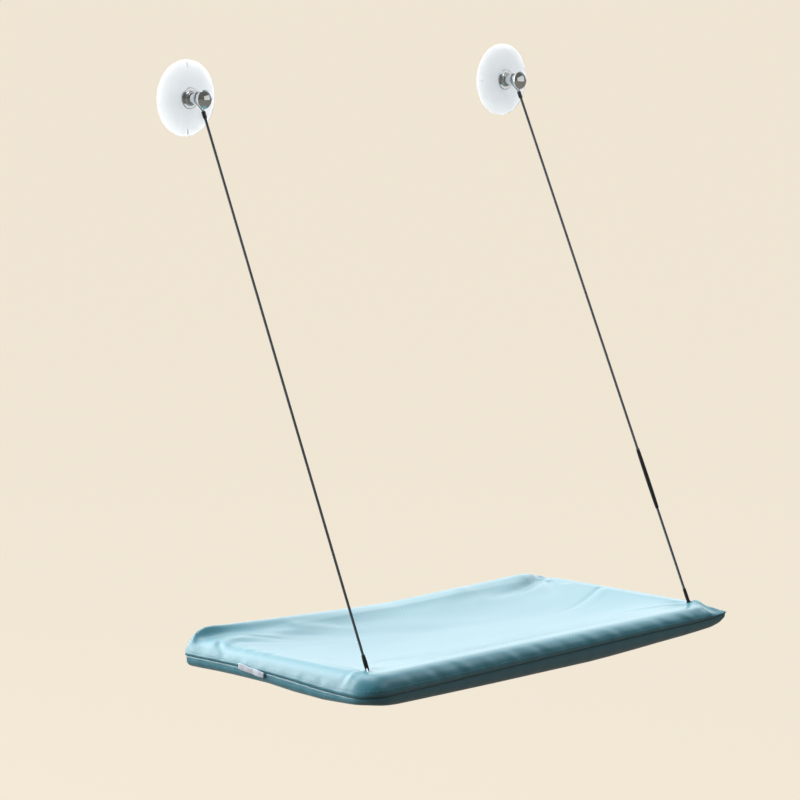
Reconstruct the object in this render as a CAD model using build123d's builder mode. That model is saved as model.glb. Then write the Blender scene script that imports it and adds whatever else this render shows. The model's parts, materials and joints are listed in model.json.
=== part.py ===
from build123d import *
import math
import os

# Window-mounted cat hammock: a cloth sleeve on a tube frame. Its back tube turns in two clips
# held by suction cups, and two coated steel cables hang its front corners from two more cups.
# The glass is the plane Y = 0 and the room lies towards -Y. +X runs along the window to the
# right, +Z is up. The origin is on the glass, half way along the bed, level with its tubes.

os.makedirs("parts", exist_ok=True)

# Driving dimensions of the whole hammock
bed_width = 550
bed_reach = 287
hang_height = 585
left_cup_x = -262
right_cup_x = 217.5
clip_x = 70
lower_cup_drop = 36

# Clearances and the overrun of cuts
press_gap = 0.05
turning_gap = 0.3
cloth_gap = 0.5
overrun = 4

# Suction cup, pressed flat on the glass
cup_radius = 40
lip_width = 6
lip_thickness = 1.2
cup_thickness = 5.2
boss_radius = 15
hollow_depth = 1.4
dome_bulge = 0.7
grip_length = 7
grip_width = 1.8
grip_height = 0.7
grip_inset = 2.5
upper_grip_turns = {"left": 90, "right": 0}
lower_grip_turn = 0

# Stud moulded into each cup
stud_radius = 3
stud_head_radius = 7
stud_head_thickness = 1.35
stud_skin = 0.8
stud_reach = 5.5

# Chromed spool between cup and nut
spool_flange_radius = 11.5
spool_flange = 2.5
spool_waist_radius = 6
spool_waist = 18.3
spool_flare = 0.6
spool_blend = 2

# Washer and cap nut
washer_radius = 8.8
washer_thickness = 1
washer_gap = 0.1
nut_radius = 9.8
nut_edge = 0.8
nut_rim = 2
nut_height = 7.2
nut_bore_depth = 5.8

# Clip that holds the back tube
clip_wall = 3
clip_width = 20
clip_mouth_angle = 110
clip_mouth_lean = 135
leg_thickness = 4
leg_gusset = 3
leg_hole_gap = 0.2

# Tube frame
tube_radius = 11
tube_wall = 2
bend_radius = 36
spigot_length = 22
spigot_wall = 2
coupler_collar = 2
channel_width = 13
channel_depth = 0.8

# Wire loops, ferrules and coated cable
wire_radius = 0.7
cable_radius = 1.45
loop_height = 21.5
top_loop_reach = 14
bottom_loop_reach = 19
wire_bend = 3
top_ferrule_length = 7.5
bottom_ferrule_length = 11.5
ferrule_wall = 0.9
tail_share = 0.75
bore_share = 0.8
splice_start = 438
splice_length = 70
splice_radius = 2.35
tail_length = 9
tail_angle = 35

# Cloth sleeve
cloth = 1.5
crest_rise = 13
seam_drop = 5
hem_drop = 17
roll_radius = 16.5
hem_round = 6
tip_left = 2
tip_right = 5
back_round = 4
sag_depth = 14
belly_depth = 5
lift_at_left = 10
furrow_width = 34
peak_height = 5.5
peak_radius = 14
peak_top_radius = 5.2
slot_gap = 2
slot_rise = 4

# Forms of the cloth along the window, from the left, as shares of the sizes above
roll_place_shares = (-1.035, -0.98, -0.88, -0.62, -0.37, 0, 0.37, 0.75, 1)
roll_growth_shares = (-1.2, 0.6, 1.3, 1.2, 1, 1, 1, 0.5, 0)
roll_rise_shares = (0.2, 0.6, 0.8, 0.5, 0.15, 0, 0, 0, 0)
sag_place_shares = (-0.955, -0.85, -0.66, -0.36, 0, 0.36, 0.66, 0.85, 0.955)
sag_dip_shares = (0.02, 0.4, 0.8, 0.96, 1, 0.96, 0.8, 0.4, 0.02)
sag_furrow_shares = (0.02, 0.5, 0.5, 0.3, 0.2, 0.25, 0.4, 0.3, 0.02)
ridge_share = 0.3
belly_place_shares = (-0.92, -0.72, -0.38, 0, 0.38, 0.72, 0.92)
belly_dip_shares = (-0.4, 0.5, 0.9, 1, 0.9, 0.5, -0.4)

# Woven label sewn into the seam
label_length = 37
label_height = 7
label_round = 1.5
label_thickness = 0.7
label_place = 111
label_drop = 6

# Places worked out from the sizes above
flange_face = cup_thickness
waist_start = flange_face + spool_flange
spool_end = waist_start + spool_waist
back_axis = -(spool_end + leg_thickness / 2)
side_axis = bed_width / 2 - cloth - cloth_gap - tube_radius
front_axis = -(bed_reach - cloth - cloth_gap - tube_radius)
bore_radius = tube_radius - tube_wall
spigot_radius = bore_radius - press_gap
bend_share = 1 - math.cos(math.radians(45))
back_face = back_axis + roll_radius
clip_radius = tube_radius + turning_gap + clip_wall
roll_tight = tube_radius + cloth + cloth_gap
cup_xs = {"left": left_cup_x, "right": right_cup_x}
sides = {"left": -1, "right": 1}


def fitting_plane(x, z):
    """Plane through a fitting's axis: local x is the radius, local y runs into the glass."""
    return Plane(origin=(x, 0, z), x_dir=(1, 0, 0), z_dir=(0, 0, 1))


def fitting_axis(x, z):
    return Axis((x, 0, z), (0, 1, 0))


def cap_middle(radius, rise):
    """Point half way along the arc of a spherical cap: its radius and its rise."""
    ball = (radius**2 + rise**2) / (2 * rise)
    half = math.asin(radius / ball) / 2
    return ball * math.sin(half), ball * math.cos(half) - (ball - rise)


def suction_cup(name, x, z, grip_turn):
    """Soft disc with a flat sealing lip, a thin hollow behind it and the stud's pocket."""
    pocket = hollow_depth + stud_skin
    pocket_end = pocket + stud_head_thickness + press_gap
    lip_inner = cup_radius - lip_width
    middle = (cup_radius + boss_radius) / 2
    middle_depth = (lip_thickness + cup_thickness) / 2 + dome_bulge
    hollow_middle, hollow_rise = cap_middle(lip_inner, hollow_depth)
    with BuildPart() as cup:
        with BuildSketch(fitting_plane(x, z)):
            with BuildLine():
                Line((0, -pocket), (0, -hollow_depth))
                ThreePointArc(
                    (0, -hollow_depth),
                    (hollow_middle, -hollow_rise),
                    (lip_inner, 0),
                )
                Polyline((lip_inner, 0), (cup_radius, 0), (cup_radius, -lip_thickness))
                ThreePointArc(
                    (cup_radius, -lip_thickness),
                    (middle, -middle_depth),
                    (boss_radius, -cup_thickness),
                )
                Polyline(
                    (boss_radius, -cup_thickness),
                    (stud_radius + press_gap, -cup_thickness),
                    (stud_radius + press_gap, -pocket_end),
                    (stud_head_radius + press_gap, -pocket_end),
                    (stud_head_radius + press_gap, -pocket),
                    (0, -pocket),
                )
            make_face()
        revolve(axis=fitting_axis(x, z))
        grip_middle = cup_radius - grip_inset - grip_length / 2
        grip_top = middle_depth + grip_height - (middle_depth - lip_thickness) / 2
        face = Plane(origin=(x, -lip_thickness / 2, z), x_dir=(1, 0, 0), z_dir=(0, -1, 0))
        with BuildSketch(face):
            with PolarLocations(grip_middle, 2, start_angle=grip_turn):
                SlotOverall(grip_length, grip_width)
        extrude(amount=grip_top - lip_thickness / 2)
    cup.part.label = name
    export_step(cup.part, f"parts/{name}.step")


def stud(name, x, z, seat):
    """Screw whose flat head sits in the cup and whose shank carries spool, washer and nut."""
    head = hollow_depth + stud_skin
    neck = head + stud_head_thickness
    with BuildPart() as screw:
        with BuildSketch(fitting_plane(x, z)):
            Polygon(
                (0, -head),
                (stud_head_radius, -head),
                (stud_head_radius, -neck),
                (stud_radius, -neck),
                (stud_radius, -seat - washer_thickness - stud_reach),
                (0, -seat - washer_thickness - stud_reach),
                align=None,
            )
        revolve(axis=fitting_axis(x, z))
        chamfer(screw.edges().sort_by(Axis.Y)[0], stud_radius / 4)
    screw.part.label = name
    export_step(screw.part, f"parts/{name}.step")


def spool(name, x, z):
    """Turned collar: flange on the cup, drawn-in waist for the wire loop, small end flare."""
    bore = stud_radius + press_gap
    blend_end = waist_start + spool_blend
    flare_start = spool_end - spool_blend
    with BuildPart() as collar:
        with BuildSketch(fitting_plane(x, z)):
            with BuildLine():
                Polyline(
                    (bore, -spool_end),
                    (bore, -flange_face),
                    (spool_flange_radius, -flange_face),
                    (spool_flange_radius, -waist_start),
                    (spool_waist_radius + spool_blend, -waist_start),
                )
                RadiusArc(
                    (spool_waist_radius + spool_blend, -waist_start),
                    (spool_waist_radius, -blend_end),
                    spool_blend,
                )
                Line((spool_waist_radius, -blend_end), (spool_waist_radius, -flare_start))
                Polyline(
                    (spool_waist_radius, -flare_start),
                    (spool_waist_radius + spool_flare, -spool_end),
                    (bore, -spool_end),
                )
            make_face()
        revolve(axis=fitting_axis(x, z))
        rims = collar.edges().filter_by(GeomType.CIRCLE).filter_by(
            lambda edge: edge.radius > spool_flange_radius - press_gap
        )
        fillet(rims, spool_flange / 3)
    collar.part.label = name
    export_step(collar.part, f"parts/{name}.step")


def washer(name, x, z, seat):
    with BuildPart() as ring:
        with BuildSketch(fitting_plane(x, z)):
            with Locations(((stud_radius + washer_gap + washer_radius) / 2, -seat - washer_thickness / 2)):
                Rectangle(washer_radius - stud_radius - washer_gap, washer_thickness)
        revolve(axis=fitting_axis(x, z))
    ring.part.label = name
    export_step(ring.part, f"parts/{name}.step")


def cap_nut(name, x, z, seat):
    """Closed domed nut with a blind threaded bore."""
    bore = stud_radius + press_gap
    face = seat + washer_thickness
    dome_start = face + nut_edge + nut_rim
    top = face + nut_height
    dome_middle, dome_rise = cap_middle(nut_radius, top - dome_start)
    with BuildPart() as nut:
        with BuildSketch(fitting_plane(x, z)):
            with BuildLine():
                Polyline(
                    (0, -top),
                    (0, -face - nut_bore_depth),
                    (bore, -face - nut_bore_depth),
                    (bore, -face),
                    (nut_radius - nut_edge, -face),
                    (nut_radius, -face - nut_edge),
                    (nut_radius, -dome_start),
                )
                ThreePointArc(
                    (nut_radius, -dome_start),
                    (dome_middle, -dome_start - dome_rise),
                    (0, -top),
                )
            make_face()
        revolve(axis=fitting_axis(x, z))
    nut.part.label = name
    export_step(nut.part, f"parts/{name}.step")


def clip(name, x):
    """Open collar round the back tube, with a leg that hangs to the cup's stud below."""
    inner = tube_radius + turning_gap
    reach = clip_radius + overrun
    half_mouth = math.radians(clip_mouth_angle / 2)
    middle = math.radians(clip_mouth_lean)
    mouth = []
    for turn in (-half_mouth, 0, half_mouth):
        size = reach if turn else reach * 2
        mouth.append((size * math.cos(middle + turn), size * math.sin(middle + turn)))
    section = Plane(origin=(x - clip_width / 2, back_axis, 0), x_dir=(0, 1, 0), z_dir=(1, 0, 0))
    leg_top = clip_radius - clip_wall / 2
    face = Plane(origin=(x, back_axis - leg_thickness / 2, 0), x_dir=(1, 0, 0), z_dir=(0, 1, 0))
    with BuildPart() as holder:
        with BuildSketch(section):
            Circle(clip_radius)
            Circle(inner, mode=Mode.SUBTRACT)
            Polygon((0, 0), *mouth, align=None, mode=Mode.SUBTRACT)
        extrude(amount=clip_width)
        with BuildSketch(face):
            with Locations((0, leg_top + (lower_cup_drop - leg_top) / 2)):
                Rectangle(clip_width, lower_cup_drop - leg_top)
            with Locations((0, lower_cup_drop)):
                Circle(clip_width / 2)
        extrude(amount=leg_thickness)
        with BuildSketch(section):
            drop = math.sqrt(clip_radius**2 - (leg_thickness / 2 + leg_gusset) ** 2) - clip_wall / 2
            Polygon(
                (-leg_thickness / 2 - leg_gusset, -drop),
                (leg_thickness / 2 + leg_gusset, -drop),
                (leg_thickness / 2, -clip_radius - leg_gusset * 2),
                (-leg_thickness / 2, -clip_radius - leg_gusset * 2),
                align=None,
            )
        extrude(amount=clip_width)
        with BuildSketch(face.offset(-overrun)):
            with Locations((0, lower_cup_drop)):
                Circle(stud_radius + leg_hole_gap)
        extrude(amount=leg_thickness + overrun * 2, mode=Mode.SUBTRACT)
        ends = holder.edges().filter_by(Axis.X).filter_by(
            lambda edge: edge.center().Z > 0
        )
        fillet(ends, clip_wall / 3)
    holder.part.label = name
    export_step(holder.part, f"parts/{name}.step")


def straight_tube(name, start, direction, length):
    with BuildPart() as tube:
        with BuildSketch(Plane(origin=start, z_dir=direction)):
            Circle(tube_radius)
            Circle(bore_radius, mode=Mode.SUBTRACT)
        extrude(amount=length)
    tube.part.label = name
    export_step(tube.part, f"parts/{name}.step")


def coupler(name, y):
    """Plug that joins two half tubes, with a collar between their ends."""
    start = Plane(origin=(-coupler_collar / 2, y, 0), x_dir=(0, 1, 0), z_dir=(1, 0, 0))
    with BuildPart() as plug:
        with BuildSketch(start):
            Circle(tube_radius)
        extrude(amount=coupler_collar)
        with BuildSketch(start.offset(-spigot_length)):
            Circle(spigot_radius)
        extrude(amount=spigot_length * 2 + coupler_collar)
        with BuildSketch(start.offset(-spigot_length)):
            Circle(spigot_radius - spigot_wall)
        extrude(amount=spigot_length * 2 + coupler_collar, mode=Mode.SUBTRACT)
        chamfer(plug.edges().group_by(Axis.X)[0] + plug.edges().group_by(Axis.X)[-1], spigot_wall / 4)
    plug.part.label = name
    export_step(plug.part, f"parts/{name}.step")


def elbow(name, side, corner_y, inward):
    """Quarter bend with a plug at each end and, at the front, a channel that keeps the loop."""
    centre = (side * (side_axis - bend_radius), corner_y + inward * bend_radius, 0)
    inner = spigot_radius - spigot_wall

    def across_bend(turn):
        """Plane square to the bend, so many radians on from its side end."""
        return Plane(
            origin=(
                centre[0] + side * bend_radius * math.cos(turn),
                centre[1] - inward * bend_radius * math.sin(turn),
                0,
            ),
            z_dir=(side * math.sin(turn), inward * math.cos(turn), 0),
        )

    with BuildPart() as bend:
        with BuildSketch(across_bend(0)):
            Circle(tube_radius)
            Circle(inner, mode=Mode.SUBTRACT)
        revolve(axis=Axis(centre, (0, 0, -side * inward)), revolution_arc=90)
        for turn, way in ((0, 1), (math.pi / 2, -1)):
            with BuildSketch(across_bend(turn)):
                Circle(spigot_radius)
                Circle(inner, mode=Mode.SUBTRACT)
            extrude(amount=spigot_length * way)
        if inward > 0:
            half_spread = channel_width / 2 / bend_radius
            with BuildSketch(across_bend(math.pi / 4 - half_spread)):
                Circle(tube_radius + overrun)
                Circle(tube_radius - channel_depth, mode=Mode.SUBTRACT)
            revolve(
                axis=Axis(centre, (0, 0, -side * inward)),
                revolution_arc=math.degrees(half_spread * 2),
                mode=Mode.SUBTRACT,
            )
    bend.part.label = name
    export_step(bend.part, f"parts/{name}.step")


def corner_seat(side):
    """Middle of a front elbow's bend, where the cable's lower loop goes round it."""
    inset = bend_radius * bend_share
    return Vector(side * (side_axis - inset), front_axis + inset, 0)


def leaning_hold(radius, lean_share):
    """Radius that a loop leaves free round a bar it crosses askew, by the sine of its lean."""
    return (radius + wire_radius + press_gap) / math.sqrt(1 - lean_share**2) - wire_radius


def loop_points(hold_radius, reach):
    """Tangent points of one leg: ferrule mouth, end of the small bend, start of the big arc."""
    gap = wire_radius + press_gap
    big = hold_radius + wire_radius
    bend_middle = (reach, gap + wire_bend)
    span = math.hypot(*bend_middle)
    turn = math.atan2(bend_middle[1], bend_middle[0]) + math.acos((big + wire_bend) / span)
    leg_end = (big * math.cos(turn), big * math.sin(turn))
    bend_end = (
        bend_middle[0] - wire_bend * math.cos(turn),
        bend_middle[1] - wire_bend * math.sin(turn),
    )
    half_turn = (turn + math.pi - math.pi / 2 * 3) / 2 + math.pi / 2 * 3
    bend_half = (
        bend_middle[0] + wire_bend * math.cos(half_turn),
        bend_middle[1] + wire_bend * math.sin(half_turn),
    )
    return gap, big, bend_half, bend_end, leg_end


def wire_loop(name, centre, towards, across, hold_radius, reach, ferrule_length):
    """Bare wire round its seat; both legs close in the ferrule at the given reach."""
    gap, big, bend_half, bend_end, leg_end = loop_points(hold_radius, reach)
    plane = Plane(origin=centre, x_dir=towards, z_dir=towards.cross(across))
    tail = reach + ferrule_length * tail_share
    with BuildPart() as loop:
        with BuildLine(plane) as path:
            Line((tail, gap), (reach, gap))
            ThreePointArc((reach, gap), bend_half, bend_end)
            Line(bend_end, leg_end)
            ThreePointArc(leg_end, (-big, 0), (leg_end[0], -leg_end[1]))
            Line((leg_end[0], -leg_end[1]), (bend_end[0], -bend_end[1]))
            ThreePointArc(
                (bend_end[0], -bend_end[1]), (bend_half[0], -bend_half[1]), (reach, -gap)
            )
            Line((reach, -gap), (tail, -gap))
        with BuildSketch(Plane(origin=path.line @ 0, z_dir=path.line % 0)):
            Circle(wire_radius)
        sweep(path=path.line)
    loop.part.label = name
    export_step(loop.part, f"parts/{name}.step")


def ferrule(name, centre, towards, across, reach, length):
    """Pressed oval sleeve round the loop's two legs; the coated cable butts on its far end."""
    width = wire_radius * 4 + press_gap * 4
    height = wire_radius * 2 + press_gap * 2
    start = Plane(origin=centre + towards * reach, x_dir=across, z_dir=towards)
    with BuildPart() as crimp:
        with BuildSketch(start):
            SlotOverall(width + ferrule_wall * 2, height + ferrule_wall * 2)
        extrude(amount=length)
        chamfer(crimp.edges().filter_by(GeomType.LINE, reverse=True), ferrule_wall / 3)
        with BuildSketch(start.offset(-overrun)):
            SlotOverall(width, height)
        extrude(amount=overrun + length * bore_share, mode=Mode.SUBTRACT)
    crimp.part.label = name
    export_step(crimp.part, f"parts/{name}.step")


def coated_cable(name, start, end):
    run = end - start
    with BuildPart() as cable:
        with BuildSketch(Plane(origin=start, z_dir=run)):
            Circle(cable_radius)
        extrude(amount=run.length)
    print(name, "free length", round(run.length, 1))
    cable.part.label = name
    export_step(cable.part, f"parts/{name}.step")


def splice(name, start, along):
    """Shrunk sleeve over the joined cable, with the short end of the splice standing out."""
    base = Plane(origin=start, z_dir=along)
    outward = Vector(-1, -1, 0).normalized()
    lean = math.radians(tail_angle)
    tail_way = along * math.cos(lean) + outward * math.sin(lean)
    tail_start = start + along * splice_length * tail_share + outward * (cable_radius + press_gap * 2)
    with BuildPart() as sleeve:
        with BuildSketch(base):
            Circle(splice_radius)
        extrude(amount=splice_length)
        with BuildSketch(Plane(origin=tail_start, z_dir=tail_way)):
            Circle(wire_radius)
        extrude(amount=tail_length)
        chamfer(sleeve.faces().sort_by(SortBy.AREA)[-1].edges(), (splice_radius - cable_radius) / 3)
        with BuildSketch(base.offset(-overrun)):
            Circle(cable_radius + press_gap)
        extrude(amount=splice_length + overrun * 2, mode=Mode.SUBTRACT)
    sleeve.part.label = name
    export_step(sleeve.part, f"parts/{name}.step")


# Fittings: two cups high on the glass and two under the back tube
for side_name, cup_x in cup_xs.items():
    suction_cup(f"upper_cup_{side_name}", cup_x, hang_height, upper_grip_turns[side_name])
    stud(f"upper_stud_{side_name}", cup_x, hang_height, spool_end)
    spool(f"upper_spool_{side_name}", cup_x, hang_height)
    washer(f"upper_washer_{side_name}", cup_x, hang_height, spool_end)
    cap_nut(f"upper_cap_nut_{side_name}", cup_x, hang_height, spool_end)

for side_name, side in sides.items():
    lower_seat = spool_end + leg_thickness
    suction_cup(f"lower_cup_{side_name}", side * clip_x, -lower_cup_drop, lower_grip_turn)
    stud(f"lower_stud_{side_name}", side * clip_x, -lower_cup_drop, lower_seat)
    spool(f"lower_spool_{side_name}", side * clip_x, -lower_cup_drop)
    washer(f"lower_washer_{side_name}", side * clip_x, -lower_cup_drop, lower_seat)
    cap_nut(f"lower_cap_nut_{side_name}", side * clip_x, -lower_cup_drop, lower_seat)
    clip(f"tube_clip_{side_name}", side * clip_x)

# Frame: four half tubes and two couplers along the bed, two side tubes, four elbows
half_length = side_axis - bend_radius - coupler_collar / 2
side_length = back_axis - front_axis - bend_radius * 2
for side_name, side in sides.items():
    inner_end = side * coupler_collar / 2
    outward = (side, 0, 0)
    straight_tube(f"back_tube_{side_name}", (inner_end, back_axis, 0), outward, half_length)
    straight_tube(f"front_tube_{side_name}", (inner_end, front_axis, 0), outward, half_length)
    side_start = (side * side_axis, front_axis + bend_radius, 0)
    straight_tube(f"side_tube_{side_name}", side_start, (0, 1, 0), side_length)
    elbow(f"back_elbow_{side_name}", side, back_axis, -1)
    elbow(f"front_elbow_{side_name}", side, front_axis, 1)
coupler("back_coupler", back_axis)
coupler("front_coupler", front_axis)

# Cables: bare loop over the spool, ferrule, coated cable, ferrule, bare loop round the elbow
for side_name, side in sides.items():
    top = Vector(cup_xs[side_name], -loop_height, hang_height)
    seat = corner_seat(side)
    down = (seat - top).normalized()
    up = -down
    level = Vector(0, 1, 0).cross(down).normalized()
    bend_line = Vector(1, side, 0).normalized()
    outward = bend_line.cross(up).normalized()
    top_line = (top, down, level)
    seat_line = (seat, up, outward)
    waist_hold = leaning_hold(spool_waist_radius, down.Y)
    elbow_hold = leaning_hold(tube_radius - channel_depth, up.dot(bend_line))
    wire_loop(f"top_loop_{side_name}", *top_line, waist_hold, top_loop_reach, top_ferrule_length)
    wire_loop(f"bottom_loop_{side_name}", *seat_line, elbow_hold, bottom_loop_reach, bottom_ferrule_length)
    ferrule(f"top_ferrule_{side_name}", *top_line, top_loop_reach, top_ferrule_length)
    ferrule(f"bottom_ferrule_{side_name}", *seat_line, bottom_loop_reach, bottom_ferrule_length)
    cable_top = top + down * (top_loop_reach + top_ferrule_length)
    cable_foot = seat + up * (bottom_loop_reach + bottom_ferrule_length)
    coated_cable(f"cable_{side_name}", cable_top, cable_foot)
    if side > 0:
        splice(f"splice_sleeve_{side_name}", top + down * splice_start, down)


# Cloth sleeve. Each panel is an outer form less the same form one cloth thickness smaller.
def sleeve_block(shrink, low, high, edge_round, round_top):
    """Plan of the sleeve with drawn-out front corners, raised between two levels."""
    with BuildPart() as block:
        with BuildSketch(Plane.XY.offset(low)):
            Polygon(
                (-bed_width / 2 + shrink, back_face - shrink),
                (-bed_width / 2 - tip_left + shrink, -bed_reach - tip_left + shrink),
                (bed_width / 2 + tip_right - shrink, -bed_reach - tip_left + shrink),
                (bed_width / 2 - shrink, back_face - shrink),
                align=None,
            )
        extrude(amount=high - low)
        rear = block.edges().filter_by(Axis.Z).sort_by(Axis.Y)[-2:]
        fillet(rear, back_round - shrink)
        edge_group = block.faces().sort_by(Axis.Z)[-1 if round_top else 0].edges()
        fillet(edge_group, edge_round - shrink)
    return block.part


def bed_section(place_share):
    """Plane across the bed at a share of its half width: local x runs to the glass, local y up."""
    return Plane(origin=(place_share * side_axis, 0, 0), x_dir=(0, 1, 0), z_dir=(1, 0, 0))


def roll_form(shrink):
    """Loose cloth round the back tube: fat and raised at the left end, tight at the right."""
    with BuildPart() as roll:
        for place, growth, rise in zip(roll_place_shares, roll_growth_shares, roll_rise_shares):
            radius = roll_tight + (roll_radius - roll_tight) * growth
            with BuildSketch(bed_section(place)):
                with Locations((back_axis, rise * lift_at_left)):
                    Circle(radius - shrink)
        loft()
    return roll.part


def sag_tool(shrink):
    """Space over the sagging top: a furrow along the back roll, then one broad hollow."""
    top = crest_rise + overrun
    level = crest_rise - shrink
    rear = back_axis - roll_radius
    front = front_axis + tube_radius
    ridge = rear - furrow_width
    with BuildPart() as tool:
        for place, dip in zip(sag_place_shares, sag_dip_shares):
            ridge_z = level - sag_depth * dip * ridge_share
            with BuildSketch(bed_section(place)):
                with BuildLine():
                    Polyline((ridge, ridge_z), (ridge, top), (front, top), (front, level))
                    ThreePointArc(
                        (front, level),
                        ((front + ridge) / 2, level - sag_depth * dip),
                        (ridge, ridge_z),
                    )
                make_face()
        loft()
    with BuildPart() as groove:
        for place, dip, furrow in zip(sag_place_shares, sag_dip_shares, sag_furrow_shares):
            ridge_z = level - sag_depth * dip * ridge_share
            with BuildSketch(bed_section(place)):
                with BuildLine():
                    Polyline((rear, level), (rear, top), (ridge, top), (ridge, ridge_z))
                    ThreePointArc(
                        (ridge, ridge_z),
                        ((rear + ridge) / 2, (level + ridge_z) / 2 - sag_depth * furrow),
                        (rear, level),
                    )
                make_face()
        loft()
    return tool.part + groove.part


def belly_form(shrink):
    """Bulge of the lower cloth between the tubes."""
    rear = back_axis - roll_radius - slot_gap
    front = front_axis
    start = -hem_drop + hem_round / 2
    with BuildPart() as belly:
        for place, dip in zip(belly_place_shares, belly_dip_shares):
            with BuildSketch(bed_section(place)):
                with BuildLine():
                    Line((rear, start + shrink), (front, start + shrink))
                    ThreePointArc(
                        (front, start + shrink),
                        ((front + rear) / 2, -hem_drop - belly_depth * dip + shrink),
                        (rear, start + shrink),
                    )
                make_face()
        loft()
    return belly.part


def peak_place(side):
    """Where the cable's line leaves the cloth, at the top of its little tent."""
    seat = corner_seat(side)
    run = Vector(cup_xs["left" if side < 0 else "right"], -loop_height, hang_height) - seat
    return seat + run * ((crest_rise + peak_height) / run.Z)


def tent_form(side, shrink):
    """Low cone that the cable draws up out of the cloth."""
    peak = peak_place(side)
    with BuildPart() as tent:
        with Locations((peak.X, peak.Y, crest_rise - cloth / 2 - shrink)):
            Cone(
                peak_radius - shrink,
                peak_top_radius - shrink,
                peak_height + cloth / 2,
                align=(Align.CENTER, Align.CENTER, Align.MIN),
            )
    return tent.part


slot_width = clip_width + slot_gap * 2
slot_front = back_axis - leg_thickness / 2 - leg_gusset - slot_gap

with BuildPart() as cloth_top:
    add(sleeve_block(0, -seam_drop, crest_rise, crest_rise - cloth_gap, True))
    add(sag_tool(0), mode=Mode.SUBTRACT)
    add(roll_form(0))
    for side in sides.values():
        add(tent_form(side, 0))
    split(bisect_by=Plane.XY.offset(-seam_drop), keep=Keep.TOP)
    add(
        sleeve_block(cloth, -seam_drop - overrun, crest_rise - cloth, crest_rise - cloth_gap, True)
        - sag_tool(cloth)
        + roll_form(cloth),
        mode=Mode.SUBTRACT,
    )
    for side in sides.values():
        peak = peak_place(side)
        add(tent_form(side, cloth), mode=Mode.SUBTRACT)
        with Locations((peak.X, peak.Y, crest_rise)):
            Cylinder(
                peak_top_radius - cloth,
                peak_height + overrun,
                align=(Align.CENTER, Align.CENTER, Align.MIN),
                mode=Mode.SUBTRACT,
            )
        with Locations((side * clip_x, back_axis, slot_rise)):
            Box(
                slot_width,
                roll_radius + overrun,
                seam_drop + slot_rise + overrun,
                align=(Align.CENTER, Align.MIN, Align.MAX),
                mode=Mode.SUBTRACT,
            )
cloth_top.part.label = "cloth_top_panel"
export_step(cloth_top.part, "parts/cloth_top_panel.step")

with BuildPart() as cloth_bottom:
    add(sleeve_block(0, -hem_drop, -seam_drop, hem_round, False))
    add(belly_form(0))
    add(sleeve_block(cloth, -hem_drop + cloth, -seam_drop + overrun, hem_round, False), mode=Mode.SUBTRACT)
    add(belly_form(cloth), mode=Mode.SUBTRACT)
    for side in sides.values():
        with Locations((side * clip_x, slot_front, -seam_drop + overrun)):
            Box(
                slot_width,
                back_face - slot_front + overrun,
                hem_drop - seam_drop + overrun * 2,
                align=(Align.CENTER, Align.MIN, Align.MAX),
                mode=Mode.SUBTRACT,
            )
cloth_bottom.part.label = "cloth_bottom_panel"
export_step(cloth_bottom.part, "parts/cloth_bottom_panel.step")

# Label: a thin strip sewn into the left side seam
wall_run = Vector(tip_left, bed_reach + tip_left + back_face, 0)
wall_foot = Vector(-bed_width / 2, back_face, 0)
label_run = wall_run.normalized()
label_share = (back_face + label_place) / wall_run.Y
label_middle = wall_foot - wall_run * label_share + Vector(0, 0, -label_drop)
label_out = Vector(-label_run.Y, label_run.X, 0)
with BuildPart() as label:
    with BuildSketch(Plane(origin=label_middle + label_out * press_gap, x_dir=label_run, z_dir=label_out)):
        RectangleRounded(label_length, label_height, label_round)
    extrude(amount=label_thickness)
label.part.label = "label"
export_step(label.part, "parts/label.step")
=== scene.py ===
# %% [markdown]
# # A window-mounted cat hammock
# The hammock is a cloth sleeve over a tube frame. It hangs in front of a pane of glass from two
# clear suction cups, by two coated steel cables. The CAD model already holds every rigid piece at
# its real size, so this lesson only dresses it: cloth with its folds, cables, label and finishes.

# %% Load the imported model
import json
import math
import bmesh
import bpy
import numpy as np
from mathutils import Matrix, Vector


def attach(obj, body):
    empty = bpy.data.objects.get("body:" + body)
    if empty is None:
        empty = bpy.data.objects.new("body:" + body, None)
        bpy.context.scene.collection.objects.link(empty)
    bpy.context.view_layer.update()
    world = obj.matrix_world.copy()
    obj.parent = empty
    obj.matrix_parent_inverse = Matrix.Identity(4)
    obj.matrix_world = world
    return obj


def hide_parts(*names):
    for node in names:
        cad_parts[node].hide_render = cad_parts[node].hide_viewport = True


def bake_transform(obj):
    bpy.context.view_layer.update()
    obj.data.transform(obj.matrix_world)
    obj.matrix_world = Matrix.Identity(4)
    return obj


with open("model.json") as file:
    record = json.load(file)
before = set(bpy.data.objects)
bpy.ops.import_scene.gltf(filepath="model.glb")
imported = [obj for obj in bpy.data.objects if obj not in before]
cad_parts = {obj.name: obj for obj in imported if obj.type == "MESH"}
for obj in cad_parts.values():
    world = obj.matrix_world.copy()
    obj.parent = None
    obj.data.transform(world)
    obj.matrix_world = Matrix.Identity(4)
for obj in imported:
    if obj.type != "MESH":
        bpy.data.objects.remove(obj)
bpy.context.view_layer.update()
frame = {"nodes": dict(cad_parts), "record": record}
scene = bpy.context.scene
MM = 0.001

# %% [markdown]
# ## Camera
# The photograph was taken from far away with a long lens, left of the hammock and a little above
# it. Angle, height and distance were fitted to its corners, so the camera is placed by them.

# %% Make the camera
CAMERA_TURN = math.radians(-45.25)
CAMERA_RISE = math.radians(8.09)
CAMERA_DISTANCE = 4.131
CAMERA_LENS = 171.45
SENSOR_WIDTH = 36
AIM_POINT = Vector((-0.0223, -0.0769, 0.2507))

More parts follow.
